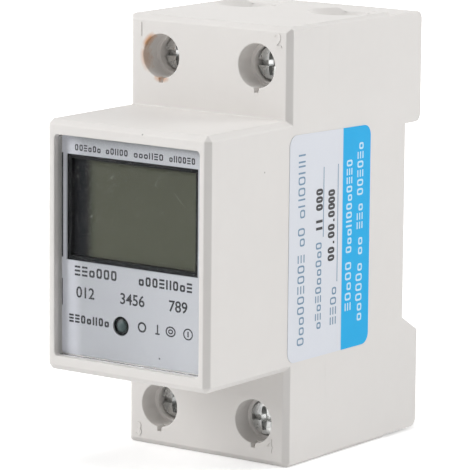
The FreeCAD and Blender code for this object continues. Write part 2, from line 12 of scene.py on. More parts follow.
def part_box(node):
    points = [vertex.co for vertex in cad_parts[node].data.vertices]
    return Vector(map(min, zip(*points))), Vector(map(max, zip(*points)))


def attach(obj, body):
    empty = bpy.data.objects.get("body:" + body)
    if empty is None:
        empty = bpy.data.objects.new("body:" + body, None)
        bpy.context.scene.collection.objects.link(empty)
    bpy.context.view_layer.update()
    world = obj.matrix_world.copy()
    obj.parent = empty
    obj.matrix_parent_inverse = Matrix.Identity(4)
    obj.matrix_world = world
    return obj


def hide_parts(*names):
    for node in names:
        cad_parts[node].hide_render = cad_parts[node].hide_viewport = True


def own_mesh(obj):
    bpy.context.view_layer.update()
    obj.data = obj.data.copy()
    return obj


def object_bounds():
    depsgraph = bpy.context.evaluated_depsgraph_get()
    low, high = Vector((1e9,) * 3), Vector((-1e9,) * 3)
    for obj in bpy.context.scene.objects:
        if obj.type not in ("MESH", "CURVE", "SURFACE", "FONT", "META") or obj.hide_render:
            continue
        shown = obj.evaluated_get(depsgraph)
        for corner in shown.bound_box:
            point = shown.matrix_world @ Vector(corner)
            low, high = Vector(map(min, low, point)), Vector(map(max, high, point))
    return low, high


bl_info = {
    "name": "Rail energy meter",
    "version": (1, 0, 0),
    "blender": (4, 5, 0),
    "location": "3D View > Sidebar > Meter",
    "description": "Gives a packed rail energy meter its moulded, plated and printed finishes",
    "category": "Object",
}

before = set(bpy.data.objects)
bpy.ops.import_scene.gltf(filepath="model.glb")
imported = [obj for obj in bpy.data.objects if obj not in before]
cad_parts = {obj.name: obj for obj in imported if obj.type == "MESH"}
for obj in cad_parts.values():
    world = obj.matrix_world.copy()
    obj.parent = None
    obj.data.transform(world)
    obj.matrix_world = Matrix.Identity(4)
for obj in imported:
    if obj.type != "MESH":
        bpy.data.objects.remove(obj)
CAD_BOX = [list(corner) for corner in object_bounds()]
MM = 0.001
TERMINAL_FACE = -37 * MM
SEAM = -25 * MM
LABEL_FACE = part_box("label_plate")[0].y
SIDE_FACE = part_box("seal_label")[1].x
PRINT_LIFT = 0.02 * MM
SPECK = 0.22 * MM
MOULD_DEPTH = 0.006 * MM
STREAK_DEPTH = 0.004 * MM
NODES_A_ROW = 9


def middle_of(part):
    """The middle of a node's box seen from the front (x, z)."""
    low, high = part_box(part)
    return (low.x + high.x) / 2, (low.z + high.z) / 2


def direction(azimuth, elevation):
    """A unit vector towards an azimuth (degrees from the front towards the right) and an elevation."""
    turn, rise = math.radians(azimuth), math.radians(elevation)
    return Vector((math.sin(turn) * math.cos(rise), -math.cos(turn) * math.cos(rise), math.sin(rise)))


def srgb(red, green, blue):
    """A colour given as 8-bit screen values, turned into the linear values that shaders use."""
    parts = np.array([red, green, blue]) / 255
    linear = np.where(parts <= 0.04045, parts / 12.92, ((parts + 0.055) / 1.055) ** 2.4)
    return tuple(float(part) for part in linear)


def length(label, text, default):
    """A size property in metres."""
    return FloatProperty(name=label, description=text, default=default, min=0, unit="LENGTH", precision=5)


def colour(label, text, *value):
    """A colour property whose default is given as 8-bit screen values."""
    return FloatVectorProperty(
        name=label, description=text, default=srgb(*value), size=3, min=0, max=1, subtype="COLOR"
    )


def share(label, text, default):
    """A property that is a share from nothing to all."""
    return FloatProperty(name=label, description=text, default=default, min=0, max=1, subtype="FACTOR")


def power(label, text, default):
    """A lamp's power in watts."""
    return FloatProperty(name=label, description=text, default=default, min=0, unit="POWER")


class CaseSettings(bpy.types.PropertyGroup):
    edge_round: length("Edge round", "Width of the rounding on the moulded edges", 0.18 * MM)
    number_height: length("Number height", "Height of the terminal numbers", 2.6 * MM)
    number_relief: length("Number relief", "How far the terminal numbers stand proud", 0.12 * MM)
    housing: colour("Housing", "White of the moulded case", 225, 222, 219)
    mottle: share("Mottle", "How much the white of the case varies", 0.03)
    stain: colour("Stain", "Tint of the stain round the upper left screw tube", 200, 148, 104)


class TerminalSettings(bpy.types.PropertyGroup):
    edge_round: length("Edge round", "Width of the rounding on the cages", 0.12 * MM)
    head_rise: length("Head rise", "How far the screws' faces stand forward of their solids", 1.2 * MM)
    zinc: colour("Zinc", "Colour of the plated steel", 226, 227, 226)
    tarnish: colour("Tarnish", "Colour where the plating has gone dull", 146, 148, 148)
    copper: colour("Copper", "Colour of the tinned copper bars", 176, 150, 132)
    alloy: colour("Alloy", "Colour of the shunt's resistance alloy", 150, 128, 104)
    lead_sleeve: colour("Lead sleeve", "Colour of the sleeves on the inner leads", 168, 36, 34)


class DisplaySettings(bpy.types.PropertyGroup):
    # Painted light and shade: the plate's grey is painted lighter along its left edge, against the recess
    # wall's shadow, and darker left of its middle, where shade falls.
    plate_left_painted_light: colour("Plate left", "Silver grey of the printed plate along its left edge", 226, 226, 234)
    plate_middle_painted_shade: colour("Plate middle", "Silver grey of the printed plate left of its middle", 168, 169, 174)
    plate_right: colour("Plate right", "Silver grey of the printed plate at its right", 184, 185, 190)
    # This black also colours the painted reflection bars along the plate's left edge.
    ink: colour("Ink", "Black of the print on the plate", 26, 26, 32)
    cell: colour("Cell", "Grey green of the switched off display", 79, 80, 69)
    # Painted shade: the dark tone painted along the display's left edge.
    cell_painted_shade: colour("Cell shade", "Dark tone along the display's left edge", 26, 27, 30)
    holder: colour("Holder", "Black of the display's frame", 14, 15, 17)
    lamp: colour("Lamp", "Smoked green of the pulse lamp", 60, 74, 74)
    window_rough: share("Window roughness", "Roughness of the clear window", 0.03)


class LabelSettings(bpy.types.PropertyGroup):
    paper: colour("Paper", "White of the side label", 221, 224, 231)
    band: colour("Band", "Blue of the band along the label's rear edge", 20, 173, 232)
    grey_ink: colour("Grey ink", "Grey blue of the thin print", 108, 140, 166)
    black_ink: colour("Black ink", "Black of the stamped numbers", 24, 22, 27)
    white_ink: colour("White ink", "White print on the blue band", 192, 226, 244)


class InnerSettings(bpy.types.PropertyGroup):
    board: colour("Board", "Green of the solder resist", 30, 84, 52)
    film: colour("Film", "Yellow of the film capacitor", 202, 164, 52)
    can: colour("Can", "Sleeve of the smoothing capacitor", 34, 40, 66)
    varistor: colour("Varistor", "Blue coat of the surge varistor", 38, 74, 146)
    resistor: colour("Resistor", "Coat of the fuse resistor", 148, 170, 150)
    chip: colour("Chip", "Black of the chips", 36, 36, 38)
    crystal: colour("Crystal", "Nickel can of the crystal", 182, 182, 178)
    latch: colour("Latch", "Light grey of the rail latch", 206, 204, 200)
    spring: colour("Spring", "Bright steel of the latch spring", 150, 150, 150)


class StageSettings(bpy.types.PropertyGroup):
    floor: colour("Floor", "Pale floor", 244, 244, 244)
    floor_lift: share("Floor lift", "How much the floor is lifted towards white for the camera", 0.35)
    ambient: share("Ambient", "Strength of the even light from all round", 0.335)
    left_box: power("Left box", "Power of the left soft box", 10.5)
    right_box: power("Right box", "Power of the right soft box", 8.6)
    top_box: power("Top box", "Power of the top soft box", 5.0)
    lens: FloatProperty(
        name="Lens", description="Focal length in millimetres", default=283.24, min=1, unit="CAMERA"
    )


SETTINGS = {
    "meter_case": CaseSettings,
    "meter_terminals": TerminalSettings,
    "meter_display": DisplaySettings,
    "meter_label": LabelSettings,
    "meter_inner": InnerSettings,
    "meter_stage": StageSettings,
}


# Shader building


def is_output(value):
    """Whether a value is a node's socket and not a plain value."""
    return isinstance(value, bpy.types.NodeSocket)


def connect(value, socket):
    """Gives an input a link where the value is an output, and else the value itself."""
    if is_output(value):
        socket.id_data.links.new(value, socket)
    else:
        socket.default_value = value


def node(tree, kind, inputs=None, **settings):
    """Adds a node, sets its own settings, and gives each input a value or a link. Nodes stand in rows."""
    made = tree.nodes.new(kind)
    row, column = divmod(len(tree.nodes), NODES_A_ROW)
    made.location = (190 * column, -230 * row)
    for name, value in settings.items():
        setattr(made, name, value)
    for key, value in (inputs or {}).items():
        connect(value, made.inputs[key])
    return made


def maths(operation, *values, clamp=False):
    """The value of a Math node on one or two values, in the node tree that they come from."""
    tree = next(value.id_data for value in values if is_output(value))
    inputs = dict(enumerate(values))
    return node(tree, "ShaderNodeMath", inputs, operation=operation, use_clamp=clamp).outputs[0]


def plus(first, second):
    """The sum of two values."""
    return maths("ADD", first, second)


def minus(first, second, clamp=False):
    """The first value less the second."""
    return maths("SUBTRACT", first, second, clamp=clamp)


def times(first, second, clamp=False):
    """The product of two values."""
    return maths("MULTIPLY", first, second, clamp=clamp)


def blend(factor, first, second, mode="MIX"):
    """The colour of a Mix node from first to second."""
    values = {0: factor, 6: first, 7: second}
    tree = next(value.id_data for value in values.values() if is_output(value))
    return node(tree, "ShaderNodeMix", values, data_type="RGBA", blend_type=mode).outputs[2]


def noise(place, scale, detail=2.0):
    """The value of a Noise Texture node."""
    given = {"Vector": place, "Scale": scale, "Detail": detail}
    return node(place.id_data, "ShaderNodeTexNoise", given).outputs[0]


def ramp(value, start, end, low=0.0, high=1.0, kind="LINEAR"):
    """The value of a Map Range node: low up to the start, high from the end on."""
    span = {"Value": value, "From Min": start, "From Max": end, "To Min": low, "To Max": high}
    return node(value.id_data, "ShaderNodeMapRange", span, interpolation_type=kind).outputs[0]


def grey(level):
    """The colour whose three channels are all one level."""
    return node(level.id_data, "ShaderNodeCombineColor", {0: level, 1: level, 2: level}).outputs[0]


def split(place):
    """The three values x, y and z of a place."""
    return node(place.id_data, "ShaderNodeSeparateXYZ", {0: place}).outputs


def stretched(place, *factors):
    """A place multiplied by one factor for each axis."""
    values = {0: place, 1: factors}
    return node(place.id_data, "ShaderNodeVectorMath", values, operation="MULTIPLY").outputs[0]


def distance(place, point):
    """How far a place is from a point."""
    values = {0: place, 1: point}
    return node(place.id_data, "ShaderNodeVectorMath", values, operation="DISTANCE").outputs["Value"]


def new_group(name, outputs, **inputs):
    """A shader node group. Its inputs are a place and those given with their defaults. Of its outputs the
    one named Colour is a colour and the others are values. Returns the place, the inputs and the outputs."""
    value, vector, tint = "NodeSocketFloat", "NodeSocketVector", "NodeSocketColor"
    tree = bpy.data.node_groups.new(name, "ShaderNodeTree")
    tree.interface.new_socket(name="Place", in_out="INPUT", socket_type=vector)
    for label, default in inputs.items():
        kind = {3: vector, 4: tint}[len(default)] if isinstance(default, tuple) else value
        tree.interface.new_socket(name=label, in_out="INPUT", socket_type=kind).default_value = default
    for label in outputs:
        kind = tint if label == "Colour" else value
        tree.interface.new_socket(name=label, in_out="OUTPUT", socket_type=kind)
    given = tree.nodes.new("NodeGroupInput").outputs
    return given["Place"], given, tree.nodes.new("NodeGroupOutput").inputs


def placed_group(name, place, **inputs):
    """The outputs of a placed copy of a node group."""
    made = node(place.id_data, "ShaderNodeGroup", node_tree=bpy.data.node_groups[name])
    for key, value in {"Place": place, **inputs}.items():
        connect(value, made.inputs[key])
    return made.outputs


def spot(place, centre, radius):
    """The mask of a placed Spot group."""
    return placed_group("Spot", place, Centre=centre, Radius=radius)["Mask"]


def build_moulding():
    """Moulded plastic: two sizes of soft noise vary the colour, and a fine grain the height and roughness."""
    place, given, out = new_group(
        "Moulded skin",
        ("Colour", "Roughness", "Height"),
        Colour=(0.7, 0.7, 0.7, 1),
        Mottle=0.03,
        Grain=4500.0,
        Roughness=0.45,
    )
    broad = noise(place, 45.0, 3.0)
    fine = noise(place, 420.0, 4.0)
    both = plus(broad, times(fine, 0.5))
    swing = times(minus(both, 0.75), given["Mottle"])
    shade = grey(plus(1.0, times(swing, 2.0)))
    connect(blend(1.0, given["Colour"], shade, "MULTIPLY"), out["Colour"])
    uneven = times(minus(fine, 0.5), 0.18)
    connect(plus(given["Roughness"], uneven), out["Roughness"])
    connect(noise(place, given["Grain"], 1.0), out["Height"])


def build_spot():
    """Spot: full at a centre and gone at its radius, its rim broken up by noise."""
    place, given, out = new_group("Spot", ["Mask"], Centre=(0.0, 0.0, 0.0), Radius=0.001, Broken=0.5)
    reach = maths("DIVIDE", distance(place, given["Centre"]), given["Radius"])
    uneven = minus(noise(place, 1500.0, 3.0), 0.5)
    rim = times(times(uneven, given["Broken"]), 2.0)
    fade = minus(1.0, plus(reach, rim))
    connect(times(fade, 1.6, clamp=True), out["Mask"])


def build_specks():
    """Specks: round dots in a share of the cells of a cell pattern, their size varied from cell to cell."""
    place, given, out = new_group("Specks", ["Mask"], Cells=900.0, Size=0.12, Share=0.2)
    cells = node(place.id_data, "ShaderNodeTexVoronoi", {"Vector": place, "Scale": given["Cells"]}).outputs
    chance = node(place.id_data, "ShaderNodeSeparateColor", {0: cells["Color"]}).outputs
    size = times(given["Size"], chance[1])
    inside = maths("LESS_THAN", cells["Distance"], size)
    kept = maths("LESS_THAN", chance[0], given["Share"])
    connect(times(inside, kept), out["Mask"])


def build_scratches():
    """Scratches: thin lines where a stretched noise passes its middle, kept where a second noise is high."""
    place, given, out = new_group("Scratches", ["Mask"], Width=0.004)
    field = noise(stretched(place, 1, 1, 2.5), 60.0, 1.0)
    middle = maths("ABSOLUTE", minus(field, 0.5))
    line = maths("LESS_THAN", middle, given["Width"])
    kept = maths("GREATER_THAN", noise(place, 330.0, 0.0), 0.56)
    connect(times(line, kept), out["Mask"])


def build_plating():
    """Plated metal: cloudy patches mix a clean and a dull colour, and fine streaks make the height."""
    place, given, out = new_group(
        "Plating",
        ("Colour", "Roughness", "Height"),
        Clean=(0.5, 0.5, 0.5, 1),
        Dull=(0.2, 0.2, 0.2, 1),
        Dullness=0.5,
        Roughness=0.3,
    )
    cloud = ramp(noise(place, 650.0, 5.0), 0.35, 0.65)
    dull = times(cloud, given["Dullness"])
    connect(blend(dull, given["Clean"], given["Dull"]), out["Colour"])
    rough = plus(given["Roughness"], times(dull, 0.3))
    connect(rough, out["Roughness"])
    connect(noise(stretched(place, 1, 0.2, 0.2), 9000.0), out["Height"])


def build_fibre():
    """Paper and card: a fine criss-cross of fibres varies the shade and makes the height."""
    outputs = ("Colour", "Height")
    place, given, out = new_group("Paper fibre", outputs, Colour=(0.8, 0.8, 0.8, 1), Depth=0.04)
    cross = noise(place, 2600.0, 6.0)
    swing = minus(plus(cross, noise(place, 120.0)), 1.0)
    shade = grey(plus(1.0, times(swing, given["Depth"])))
    connect(blend(1.0, given["Colour"], shade, "MULTIPLY"), out["Colour"])
    connect(cross, out["Height"])


def build_tracks():
    """Board: straight tracks under the solder resist, bands of one of two crossing waves in each cell."""
    place, given, out = new_group(
        "Board tracks", ("Colour", "Height"), Resist=(0.02, 0.1, 0.04, 1), Track=(0.05, 0.2, 0.08, 1)
    )
    tree = place.id_data
    pattern = {"Vector": place, "Scale": 160.0, "Randomness": 0.6}
    cells = node(tree, "ShaderNodeTexVoronoi", pattern, distance="CHEBYCHEV").outputs
    chance = node(tree, "ShaderNodeSeparateColor", {0: cells["Color"]}).outputs[0]
    side = maths("GREATER_THAN", chance, 0.5)
    waves = {"Vector": place, "Scale": 190.0}
    along, across = (
        node(tree, "ShaderNodeTexWave", waves, bands_direction=axis).outputs["Fac"] for axis in "XZ"
    )
    wave = plus(times(along, side), times(across, minus(1.0, side)))
    track = maths("GREATER_THAN", wave, 0.62)
    connect(blend(track, given["Resist"], given["Track"]), out["Colour"])
    connect(track, out["Height"])


def material(name, **fixed):
    """A material, its Principled shader with fixed socket values set, and its Object coordinates."""
    made = bpy.data.materials.new(name)
    made.use_nodes = True
    tree = made.node_tree
    tree.nodes.clear()
    values = {key.replace("_", " "): value for key, value in fixed.items()}
    shader = node(tree, "ShaderNodeBsdfPrincipled", values)
    node(tree, "ShaderNodeOutputMaterial", {"Surface": shader.outputs[0]}).location = (1900, 0)
    return made, shader, node(tree, "ShaderNodeTexCoord").outputs["Object"]


def feed(shader, key, socket):
    """Links a value to one of the shader's inputs."""
    connect(socket, shader.inputs[key])


def bump(shader, height, depth):
    """Feeds a height to the shader's normal through a Bump node, its depth in metres."""
    given = {"Height": height, "Distance": depth, "Strength": 1.0}
    feed(shader, "Normal", node(shader.id_data, "ShaderNodeBump", given).outputs[0])


def skinned(name, group, given, depth, **fixed):
    """A material whose colour, roughness and height come from a node group, with its shader, its Object
    coordinates and the group's colour."""
    made, shader, place = material(name, **fixed)
    skin = placed_group(group, place, **given)
    feed(shader, "Base Color", skin["Colour"])
    feed(shader, "Roughness", skin["Roughness"])
    bump(shader, skin["Height"], depth)
    return made, shader, place, skin["Colour"]


def moulded(name, tint, mottle, grain, roughness, **fixed):
    """A moulded plastic."""
    given = {"Colour": (*tint, 1), "Mottle": mottle, "Grain": grain, "Roughness": roughness}
    return skinned(name, "Moulded skin", given, MOULD_DEPTH, **fixed)[0]


def plated(name, clean, dull, dullness, roughness):
    """A plated or bare metal."""
    given = {"Clean": (*clean, 1), "Dull": (*dull, 1), "Dullness": dullness, "Roughness": roughness}
    return skinned(name, "Plating", given, STREAK_DEPTH, Metallic=1.0)[0]


# Mesh building


def set_out(name, mesh, finish, body="case"):
    """Puts a mesh in the scene as a piece with its finish and material slot, riding on a body."""
    mesh.materials.clear()
    mesh.materials.append(finish)
    made = bpy.data.objects.new(name, mesh)
    bpy.context.scene.collection.objects.link(made)
    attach(made, body)
    return made


def mesh_piece(name, points, faces, finish, body="case"):
    """A piece from whole arrays of points and faces, its faces turned outwards."""
    mesh = bpy.data.meshes.new(name)
    mesh.from_pydata(points.tolist(), [], faces if isinstance(faces, list) else faces.tolist())
    work = bmesh.new()
    work.from_mesh(mesh)
    bmesh.ops.recalc_face_normals(work, faces=work.faces)
    work.to_mesh(mesh)
    work.free()
    return set_out(name, mesh, finish, body)


def smooth(piece, degrees):
    """Shades a piece smooth, apart from its edges sharper than an angle."""
    piece.data.shade_smooth()
    piece.data.set_sharp_from_angle(angle=math.radians(degrees))


def between(loops):
    """Quads between each closed loop of point numbers and the next, for one row of loops or several."""
    beside = np.roll(loops, -1, axis=-1)
    corners = (loops[..., :-1, :], beside[..., :-1, :], beside[..., 1:, :], loops[..., 1:, :])
    return np.stack(corners, axis=-1).reshape(-1, 4)


def ring_plates(centres, sizes, walls, round_power=3.5, steps=20):
    """Flat rings: for each centre, an outer and an inner superellipse outline, |x/a|^p + |y/b|^p = 1, each at
    the front and the back level, joined by quads round the ring. One size and wall may serve all centres.
    Returns points (u, v, level) and faces."""
    angle = np.linspace(0, 2 * np.pi, steps, endpoint=False)
    unit = np.stack([np.cos(angle), np.sin(angle)], axis=1)
    unit = np.sign(unit) * np.abs(unit) ** (2 / round_power)
    half = np.asarray(sizes)[:, None, :] / 2
    wall = np.asarray(walls)[:, None, None]
    centre = np.asarray(centres)[:, None, :]
    outer = centre + unit * half
    inner = centre + unit * (half - wall)
    loops = np.stack([outer, inner, inner, outer], axis=1)
    level = np.broadcast_to(np.array([1.0, 1.0, 0.0, 0.0])[None, :, None, None], (*loops.shape[:3], 1))
    points = np.concatenate([loops, level], axis=3).reshape(-1, 3)
    numbers = np.arange(len(points)).reshape(loops.shape[:3])
    return points, between(np.concatenate([numbers, numbers[:, :1]], axis=1))


def bar_plates(lows, highs):
    """Flat bars: for each, the eight corners between its low and its high (u, v), at the two levels."""
    low, high = np.asarray(lows, float), np.asarray(highs, float)
    square = [[0, 0], [1, 0], [1, 1], [0, 1]]
    corner = np.array([[*side, level] for level in (0, 1) for side in square], float)
    flat = low[:, None, :] + corner[None, :, :2] * (high - low)[:, None, :]
    level = np.broadcast_to(corner[None, :, 2:], (len(low), 8, 1))
    points = np.concatenate([flat, level], axis=2).reshape(-1, 3)
    quads = np.array([[3, 2, 1, 0], [4, 5, 6, 7], [0, 1, 5, 4], [1, 2, 6, 5], [2, 3, 7, 6], [3, 0, 4, 7]])
    faces = (quads[None] + 8 * np.arange(len(low))[:, None, None]).reshape(-1, 4)
    return points, faces


def fan(pole, line):
    """Triangles from one point to each step of a line of point numbers."""
    return np.stack([np.full(len(line) - 1, pole), line[:-1], line[1:]], axis=1).tolist()


def capped(loops):
    """Faces of a tube of closed loops: quads between them, and a fan over each end from one more point. Those
    two points come after the loops' own."""
    closed = np.concatenate([loops, loops[:, :1]], axis=1)
    return between(loops).tolist() + fan(loops.size, closed[0]) + fan(loops.size + 1, closed[-1])


def turned(radius, depth, ends, centre, steps):
    """A turned surface whose axis runs front to back, closed by one point at each end: for each radius and
    depth, a ring of points x = cx + r sin(t), y = depth, z = cz + r cos(t)."""
    angle = np.linspace(0, 2 * np.pi, steps, endpoint=False)
    x = centre[0] + radius * np.sin(angle)
    z = centre[1] + radius * np.cos(angle)
    poles = [[centre[0], end, centre[1]] for end in ends]
    points = np.concatenate([np.stack([x, depth + 0 * x, z], axis=2).reshape(-1, 3), poles])
    return points, capped(np.arange(x.size).reshape(x.shape))


def coil_surface(low, high, centre, radius, wire, turns):
    """A compression spring with closed end turns. Its wire's middle runs x = cx + r sin(2 pi n u),
    y = cy + r cos(2 pi n u), z = low + h (3u^2 - 2u^3), and an upright circle is carried along it."""
    steps_a_turn, sides = 28, 12
    u = np.linspace(0, 1, round(turns * steps_a_turn))[:, None]
    around = np.linspace(0, 2 * np.pi, sides, endpoint=False)[None, :]
    middle = low + wire + (high - low - 2 * wire) * (3 * u**2 - 2 * u**3)
    turn = 2 * np.pi * turns * u

    def line(reach, rise):
        x, y = centre[0] + reach * np.sin(turn), centre[1] + reach * np.cos(turn)
        return np.stack([x, y, middle + rise], axis=2)

    rings = line(radius + wire * np.cos(around), wire * np.sin(around))
    ends = line(radius + 0 * u, 0 * u)[[0, -1], 0]
    loops = np.arange(len(u) * sides).reshape(-1, sides)
    return np.concatenate([rings.reshape(-1, 3), ends]), capped(loops)


def screw_surface(centre, front, under, tip):
    """A clamp screw from its face, the head's underside and its tip. The face is a grid, z = R v and
    x = R s sqrt(1 - v^2), with lines close together at the walls of the slot and of the tapering cross, and
    a dome y = 0.12 (r/R)^2. Rings follow from the face's rim on: the head, and a shank whose radius is a
    thread, a triangle wave of depth and angle. Halves and ends are shares of the face's radius."""
    head, shank, pitch, thread_depth = 3.05 * MM, 2.5 * MM, 0.8 * MM, 0.26 * MM
    dome, slot_depth, edge = 0.12 * MM, 1.2 * MM, 0.15 * MM
    slot_half, arm_half, arm_end, soft = 0.165, 0.2, 0.74, 0.018
    face_share = 0.95

    def lines(count, *walls):
        steps = [wall + shift for wall in walls for shift in (-soft, soft)]
        close = np.array(steps + [-step for step in steps])
        even = np.sin(np.linspace(-np.pi / 2, np.pi / 2, count))
        clear = np.abs(even[:, None] - close[None, :]).min(axis=1) > soft
        return np.sort(np.concatenate([even[clear], close]))

    def band(value, wall):
        return np.clip((wall - np.abs(value)) / (2 * soft) + 0.5, 0, 1)

    def taper(reach):
        return (1.9 - 1.4 * np.abs(reach)) * MM

    v = lines(45, slot_half, arm_end)[1:-1][:, None]
    s = lines(45, arm_half, arm_end)[None, :]
    inner = face_share * head
    x, z = inner * s * np.sqrt(1 - v**2), inner * v + 0 * s
    slot = slot_depth * band(v, slot_half) + 0 * s
    upright = band(s, arm_half) * band(v, arm_end) * taper(v)
    level = band(v, slot_half) * band(s, arm_end) * taper(s)
    y = front + dome * (x**2 + z**2) / head**2 + np.maximum(slot, np.maximum(upright, level))
    grid = np.stack([x, y, z], axis=2).reshape(-1, 3)
    rim_depth = front + dome * face_share**2
    poles = [[0, rim_depth, inner], [0, rim_depth, -inner], [0, tip, 0]]

    row = v[:, 0]
    around = np.concatenate([[1], row[::-1], [-1], row])
    side = np.concatenate([np.ones(len(row) + 1), -np.ones(len(row) + 1)])
    angle = np.arctan2(side * np.sqrt(1 - around**2), around)[None, :]
    cut = slot_depth * band(around, slot_half)[None, :]
    face = np.array([0.16, 0.3])[:, None] * MM + front + cut
    neck = np.array([-edge, 0, 0])[:, None] + under + 0 * angle
    long = np.linspace(under, tip, 96)[1:, None]
    wave = np.abs((long / pitch + angle / (2 * np.pi)) % 1 - 0.5) * 2
    thread = (shank - thread_depth * wave) * np.clip((tip - long) / (0.5 * MM) + 0.8, 0.8, 1)
    plain = np.array([0.985 * head, head, head, head - edge, shank])[:, None] + 0 * angle
    radius, depth = np.concatenate([plain, thread]), np.concatenate([face, neck, long + 0 * angle])
    rings = np.stack([radius * np.sin(angle), depth, radius * np.cos(angle)], axis=2).reshape(-1, 3)

    cell = np.arange(len(grid)).reshape(x.shape)
    top, bottom, end = len(grid), len(grid) + 1, len(grid) + 2
    rim = np.concatenate([[top], cell[::-1, -1], [bottom], cell[:, 0]])
    loops = np.vstack([rim, len(grid) + 3 + np.arange(len(rings)).reshape(radius.shape)])
    quads = np.stack([cell[:-1, :-1], cell[:-1, 1:], cell[1:, 1:], cell[1:, :-1]], axis=2)
    faces = np.concatenate([quads.reshape(-1, 4), between(loops)]).tolist()
    faces += fan(top, cell[-1]) + fan(bottom, cell[0]) + fan(end, np.append(loops[-1], loops[-1, 0]))
    return np.concatenate([grid, poles, rings]) + [centre[0], 0, centre[1]], faces


def rounded_outline(corners, radius):
    """A four-sided outline, anticlockwise from its lowest left corner, each corner rounded by nine points
    p = corner + r inwards + r (cos t, sin t)."""
    quarter = np.linspace(0, np.pi / 2, 9)
    turn = np.array([2, 3, 0, 1])[:, None] * np.pi / 2 + quarter[None, :]
    inward = np.array([(1, 1), (-1, 1), (-1, -1), (1, -1)])
    arcs = np.stack([np.cos(turn), np.sin(turn)], axis=2) * radius
    return ((np.array(corners) + inward * radius)[:, None, :] + arcs).reshape(-1, 2)


def joined(*parts):
    """Points and faces of several sets as one set."""
    shift = np.cumsum([0] + [len(points) for points, _ in parts[:-1]])
    return (
        np.concatenate([points for points, _ in parts]),
        np.concatenate([faces + start for (_, faces), start in zip(parts, shift)]),
    )


def word_marks(spans, weight, seed):
    """Rows of plain marks in place of words. Each span (start, end, low, high) is cut into cells about as
    wide as they are high, and each holds a hollow box, tall or low, two upright bars, or three level bars."""
    chance = np.random.default_rng(seed)
    rings, ring_sizes, lows, highs = [], [], [], []
    for start, end, low, high in spans:
        tall = high - low
        count = max(1, round((end - start) / (0.9 * tall)))
        step = (end - start) / count
        gap, middle = 0.12 * step, (low + high - weight) / 2
        for cell, kind in enumerate(chance.choice(4, size=count, p=[0.4, 0.25, 0.15, 0.2])):
            left = start + cell * step + gap
            right = left + step - 2 * gap
            if kind < 2:
                ring_height = (1, 0.72)[kind] * tall
                rings.append(((left + right) / 2, low + ring_height / 2))
                ring_sizes.append((right - left, ring_height))
            elif kind == 2:
                lows += [(left, low), (right - weight, low)]
                highs += [(left + weight, high), (right, high)]
            else:
                lows += [(left, low), (left, middle), (left, high - weight)]
                highs += [(right, low + weight), (right, middle + weight), (right, high)]
    sets = []
    if rings:
        sets.append(ring_plates(rings, ring_sizes, [weight]))
    if lows:
        sets.append(bar_plates(lows, highs))
    return joined(*sets)


def flat_numbers(text, place, tall, thick, finish, bold=0.0):
    """Plain numbers as a mesh on a face that looks forward, with their middle at a place."""
    words = bpy.data.curves.new("numbers", "FONT")
    words.body = text
    capital_share = 0.7
    words.size = tall / capital_share
    words.extrude = thick
    words.offset = bold
    words.align_x = "CENTER"
    words.align_y = "CENTER"
    source = bpy.data.objects.new("numbers", words)
    bpy.context.scene.collection.objects.link(source)
    bpy.context.view_layer.update()
    mesh = bpy.data.meshes.new_from_object(source)
    bpy.data.objects.remove(source)
    mesh.transform(Matrix.Translation(place) @ Matrix.Rotation(math.radians(90), 4, "X"))
    return set_out("numbers_" + text, mesh, finish)


def on_front(points):
    """Flat marks (u to the right, v up, level 0 to 1) laid on the label plate, a quarter sunk in it."""
    u, v, level = points.T
    return np.stack([u * MM, LABEL_FACE - (level - 0.25) * PRINT_LIFT, v * MM], axis=1)


def on_side(points):
    """Flat marks laid on the side label, a quarter sunk in it, reading upwards with their tops forward."""
    u, v, level = points.T
    return np.stack([SIDE_FACE + (level - 0.25) * PRINT_LIFT, -v * MM, u * MM], axis=1)


def eased_copy(part, width, finish, body="case", seam=None):
    """Stands for a CAD node: its triangles merged, flat ones joined, and its edges eased by a Bevel. Edges
    in the plane y = seam, where two halves meet, keep a quarter of the rounding, and edges beside a very
    narrow corner of a face, where a flat side runs out on a curve, keep none."""
    flat, narrow_corner, sharp = (math.radians(degrees) for degrees in (0.6, 5, 35))
    same_place, seam_reach, near = 0.002 * MM, 0.02 * MM, 4 * width
    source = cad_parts[part]
    mesh = source.data.copy()
    mesh.name = part + "_eased"
    for layer in ("custom_normal", "sharp_face", "sharp_edge"):
        if layer in mesh.attributes:
            mesh.attributes.remove(mesh.attributes[layer])
    work = bmesh.new()
    work.from_mesh(mesh)
    bmesh.ops.remove_doubles(work, verts=work.verts, dist=same_place)
    bmesh.ops.dissolve_limit(work, angle_limit=flat, verts=work.verts, edges=work.edges)
    weight = work.edges.layers.float.new("bevel_weight_edge")
    corners = [corner for face in work.faces for corner in face.loops]
    tips = [corner.vert.co for corner in corners if corner.calc_angle() < narrow_corner]
    narrow = {vert for vert in work.verts if any((vert.co - tip).length < near for tip in tips)}
    for edge in work.edges:
        met = seam is not None and max(abs(vert.co.y - seam) for vert in edge.verts) < seam_reach
        kept = edge.calc_face_angle(0) > sharp and narrow.isdisjoint(edge.verts)
        edge[weight] = (0.25 if met else 1.0) if kept else 0.0
    for face in work.faces:
        face.smooth = True
    work.to_mesh(mesh)
    work.free()
    made = set_out(part + "_eased", mesh, finish, body)
    mesh.set_sharp_from_angle(angle=sharp)
    bevel = made.modifiers.new("Eased edges", "BEVEL")
    bevel.width = width
    bevel.segments = 2
    bevel.limit_method = "WEIGHT"
    bevel.use_clamp_overlap = False
    bevel.loop_slide = False
    bevel.harden_normals = True
    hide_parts(part)


def dress(finish, *parts):
    """Gives CAD nodes a finish in place of their plain one."""
    for part in parts:
        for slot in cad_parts[part].material_slots:
            slot.material = finish


